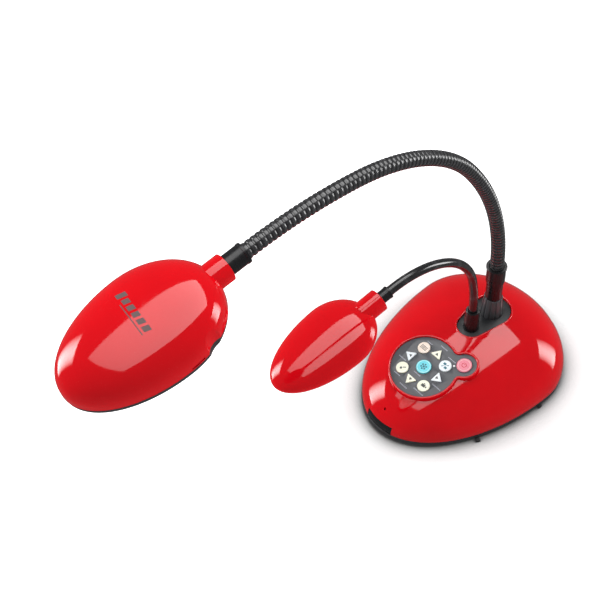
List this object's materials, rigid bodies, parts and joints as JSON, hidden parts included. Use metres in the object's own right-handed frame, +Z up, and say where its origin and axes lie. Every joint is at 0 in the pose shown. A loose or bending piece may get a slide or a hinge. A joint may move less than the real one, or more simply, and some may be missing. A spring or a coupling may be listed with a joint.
{
  "type": "video magnifier",
  "caption": "Desk video magnifier: egg-shaped weighted base with a key panel, a long gooseneck carrying a camera head, and a short gooseneck carrying a lamp head.",
  "frame": {"origin": "centre of the middle rubber foot's lower face, on the table", "axes": "+X to the user's right, +Y away from the user (the heads hang forward, towards -Y), +Z up"},
  "size_m": [0.1754, 0.5245, 0.3883],
  "materials": {
    "gloss_red": "high gloss moulded red",
    "base_black": "fine satin texture",
    "window_black": "dark gloss",
    "plate_black": "smooth satin",
    "socket_grey": "smooth satin grey",
    "neck_black": "black satin coat on wound steel",
    "overlay_slate": "satin printed film",
    "key_cream": "satin",
    "key_white": "satin",
    "key_cyan": "satin",
    "key_pink": "satin",
    "light_white": "milky",
    "steel": "plain rolled plate",
    "zinc_screws": "zinc plated",
    "connector_metal": "plated shell",
    "board_green": "solder mask",
    "rubber_dark": "matte",
    "lens_glass": "coated clear"
  },
  "bodies": {
    "base": {"top_cover": "gloss_red", "bottom_tub": "base_black", "ballast_plate": "steel", "rubber_feet": "rubber_dark", "base_screws": "zinc_screws", "front_window": "window_black", "microphone": "base_black", "main_board": "board_green", "board_screws": "zinc_screws", "power_inlet": "connector_metal", "video_socket": "connector_metal", "data_socket": "connector_metal", "rear_panel": "base_black", "panel_overlay": "overlay_slate", "indicator_light": "light_white", "key_mat": "rubber_dark", "key_board": "board_green", "neck_plate": "plate_black", "main_neck_socket": "socket_grey", "main_neck_sleeve": "plate_black", "lamp_neck_sleeve": "plate_black", "neck_nuts": "zinc_screws"},
    "key_power": {"key_power": "key_pink"},
    "key_centre": {"key_centre": "key_cyan"},
    "key_upper_right": {"key_upper_right": "key_white"},
    "key_upper_left": {"key_upper_left": "key_cream"},
    "key_lower_left": {"key_lower_left": "key_cream"},
    "key_lower_right": {"key_lower_right": "key_cream"},
    "key_right": {"key_right": "key_white"},
    "key_up": {"key_up": "key_cream"},
    "key_left": {"key_left": "key_white"},
    "key_down": {"key_down": "key_cream"},
    "main_neck_link_1": {"main_neck_link_1": "neck_black"},
    "main_neck_link_2": {"main_neck_link_2": "neck_black"},
    "main_neck_link_3": {"main_neck_link_3": "neck_black"},
    "main_neck_link_4": {"main_neck_link_4": "neck_black"},
    "main_neck_link_5": {"main_neck_link_5": "neck_black"},
    "main_neck_link_6": {"main_neck_link_6": "neck_black"},
    "main_neck_link_7": {"main_neck_link_7": "neck_black"},
    "main_neck_link_8": {"main_neck_link_8": "neck_black"},
    "main_neck_link_9": {"main_neck_link_9": "neck_black", "main_ferrule": "neck_black"},
    "camera_head": {"head_shell": "gloss_red", "head_bottom": "base_black", "head_screws": "zinc_screws", "lens_barrel": "base_black", "lens_glass": "lens_glass", "camera_board": "board_green", "image_sensor": "window_black"},
    "lamp_neck_link_1": {"lamp_neck_link_1": "neck_black"},
    "lamp_neck_link_2": {"lamp_neck_link_2": "neck_black"},
    "lamp_neck_link_3": {"lamp_neck_link_3": "neck_black"},
    "lamp_neck_link_4": {"lamp_neck_link_4": "neck_black"},
    "lamp_neck_link_5": {"lamp_neck_link_5": "neck_black", "lamp_ferrule": "neck_black"},
    "lamp_head": {"lamp_shell": "gloss_red", "lamp_diffuser": "light_white", "led_board": "board_green", "leds": "light_white"}
  },
  "joints": [
    {"name": "key_power_press", "type": "slide", "parent": "base", "child": "key_power", "axis": [0, 0.1908, -0.9816], "range_m": [0, 0.0008], "stiffness_N_per_m": 1200},
    {"name": "key_centre_press", "type": "slide", "parent": "base", "child": "key_centre", "axis": [0, 0.1908, -0.9816], "range_m": [0, 0.0008], "stiffness_N_per_m": 1200},
    {"name": "key_upper_right_press", "type": "slide", "parent": "base", "child": "key_upper_right", "axis": [0, 0.1908, -0.9816], "range_m": [0, 0.0008], "stiffness_N_per_m": 1200},
    {"name": "key_upper_left_press", "type": "slide", "parent": "base", "child": "key_upper_left", "axis": [0, 0.1908, -0.9816], "range_m": [0, 0.0008], "stiffness_N_per_m": 1200},
    {"name": "key_lower_left_press", "type": "slide", "parent": "base", "child": "key_lower_left", "axis": [0, 0.1908, -0.9816], "range_m": [0, 0.0008], "stiffness_N_per_m": 1200},
    {"name": "key_lower_right_press", "type": "slide", "parent": "base", "child": "key_lower_right", "axis": [0, 0.1908, -0.9816], "range_m": [0, 0.0008], "stiffness_N_per_m": 1200},
    {"name": "key_right_press", "type": "slide", "parent": "base", "child": "key_right", "axis": [0, 0.1908, -0.9816], "range_m": [0, 0.0008], "stiffness_N_per_m": 1200},
    {"name": "key_up_press", "type": "slide", "parent": "base", "child": "key_up", "axis": [0, 0.1908, -0.9816], "range_m": [0, 0.0008], "stiffness_N_per_m": 1200},
    {"name": "key_left_press", "type": "slide", "parent": "base", "child": "key_left", "axis": [0, 0.1908, -0.9816], "range_m": [0, 0.0008], "stiffness_N_per_m": 1200},
    {"name": "key_down_press", "type": "slide", "parent": "base", "child": "key_down", "axis": [0, 0.1908, -0.9816], "range_m": [0, 0.0008], "stiffness_N_per_m": 1200},
    {"name": "lower_bend", "type": "hinge", "parent": "base", "child": "main_neck_link_1", "pos_m": [0, 0.0337, 0.131], "axis": [0.9993, -0.0384, 0], "range_deg": [-8, 8]},
    {"name": "sway", "type": "hinge", "parent": "main_neck_link_1", "child": "main_neck_link_2", "pos_m": [-0.00021, 0.02814, 0.18955], "axis": [0.0377, 0.9813, 0.1885], "range_deg": [-8, 8]},
    {"name": "lower_bend_3", "type": "hinge", "parent": "main_neck_link_2", "child": "main_neck_link_3", "pos_m": [-0.00085, 0.01164, 0.24599], "axis": [0.9993, -0.0384, 0], "range_deg": [-8, 8]},
    {"name": "lower_bend_4", "type": "hinge", "parent": "main_neck_link_3", "child": "main_neck_link_4", "pos_m": [-0.00188, -0.01519, 0.29832], "axis": [0.9993, -0.0384, 0], "range_deg": [-8, 8]},
    {"name": "sway_5", "type": "hinge", "parent": "main_neck_link_4", "child": "main_neck_link_5", "pos_m": [-0.00317, -0.04891, 0.33716], "axis": [0.025, 0.6507, 0.7589], "range_deg": [-8, 8]},
    {"name": "upper_bend", "type": "hinge", "parent": "main_neck_link_5", "child": "main_neck_link_6", "pos_m": [-0.00484, -0.09239, 0.36461], "axis": [0.9993, -0.0384, 0], "range_deg": [-10, 10]},
    {"name": "upper_bend_7", "type": "hinge", "parent": "main_neck_link_6", "child": "main_neck_link_7", "pos_m": [-0.00675, -0.14194, 0.37835], "axis": [0.9993, -0.0384, 0], "range_deg": [-10, 10]},
    {"name": "sway_8", "type": "hinge", "parent": "main_neck_link_7", "child": "main_neck_link_8", "pos_m": [-0.00819, -0.17949, 0.3812], "axis": [0.0011, 0.0273, 0.9996], "range_deg": [-8, 8]},
    {"name": "upper_bend_9", "type": "hinge", "parent": "main_neck_link_8", "child": "main_neck_link_9", "pos_m": [-0.00964, -0.21713, 0.3804], "axis": [0.9993, -0.0384, 0], "range_deg": [-10, 10]},
    {"name": "head_swivel", "type": "hinge", "parent": "main_neck_link_9", "child": "camera_head", "pos_m": [-0.01175, -0.27227, 0.37302], "axis": [-0.0379, -0.9856, -0.165], "range_deg": [-60, 60]},
    {"name": "lamp_bend", "type": "hinge", "parent": "base", "child": "lamp_neck_link_1", "pos_m": [0, 0.0051, 0.0865], "axis": [0.9993, -0.0384, 0], "range_deg": [-10, 10]},
    {"name": "lamp_sway", "type": "hinge", "parent": "lamp_neck_link_1", "child": "lamp_neck_link_2", "pos_m": [-0.00017, 0.00075, 0.13343], "axis": [0.0377, 0.9822, 0.184], "range_deg": [-8, 8]},
    {"name": "lamp_bend_3", "type": "hinge", "parent": "lamp_neck_link_2", "child": "lamp_neck_link_3", "pos_m": [-0.00068, -0.01255, 0.16655], "axis": [0.9993, -0.0384, 0], "range_deg": [-10, 10]},
    {"name": "lamp_sway_4", "type": "hinge", "parent": "lamp_neck_link_3", "child": "lamp_neck_link_4", "pos_m": [-0.00164, -0.03755, 0.19201], "axis": [0.0216, 0.5617, 0.8271], "range_deg": [-8, 8]},
    {"name": "lamp_bend_5", "type": "hinge", "parent": "lamp_neck_link_4", "child": "lamp_neck_link_5", "pos_m": [-0.0029, -0.07041, 0.20589], "axis": [0.9993, -0.0384, 0], "range_deg": [-10, 10]},
    {"name": "lamp_swivel", "type": "hinge", "parent": "lamp_neck_link_5", "child": "lamp_head", "pos_m": [-0.00468, -0.11686, 0.20398], "axis": [-0.0377, -0.9809, -0.1908], "range_deg": [-60, 60]}
  ],
  "couplings": [
    {"joint": "lower_bend_3", "follows": "lower_bend", "ratio": 1},
    {"joint": "lower_bend_4", "follows": "lower_bend", "ratio": 1},
    {"joint": "sway_5", "follows": "sway", "ratio": 1},
    {"joint": "upper_bend_7", "follows": "upper_bend", "ratio": 1},
    {"joint": "sway_8", "follows": "sway", "ratio": 1},
    {"joint": "upper_bend_9", "follows": "upper_bend", "ratio": 1},
    {"joint": "lamp_bend_3", "follows": "lamp_bend", "ratio": 1},
    {"joint": "lamp_sway_4", "follows": "lamp_sway", "ratio": 1},
    {"joint": "lamp_bend_5", "follows": "lamp_bend", "ratio": 1}
  ]
}
